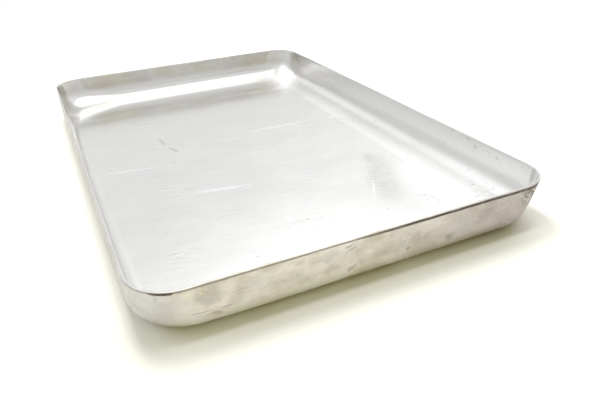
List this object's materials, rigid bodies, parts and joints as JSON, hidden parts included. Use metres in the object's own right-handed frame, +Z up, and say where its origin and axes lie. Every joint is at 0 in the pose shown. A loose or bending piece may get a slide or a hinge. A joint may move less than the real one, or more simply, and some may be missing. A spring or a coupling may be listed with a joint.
{
  "type": "baking tray",
  "caption": "Shallow rectangular baking tray pressed in one piece from aluminium sheet, with near-upright walls, a wide round at the foot, ball-like corners and a plain cut rim.",
  "frame": {"origin": "middle of the flat underside, on the plane that the tray stands on", "axes": "+Z up out of the open mouth, +Y along the long side, +X along the short side"},
  "size_m": [0.229, 0.356, 0.0255],
  "materials": {
    "aluminium": "worn mill finish, soft gloss with fine rubbing marks and faint stains"
  },
  "bodies": {
    "root": {"tray": "aluminium"}
  },
  "joints": []
}
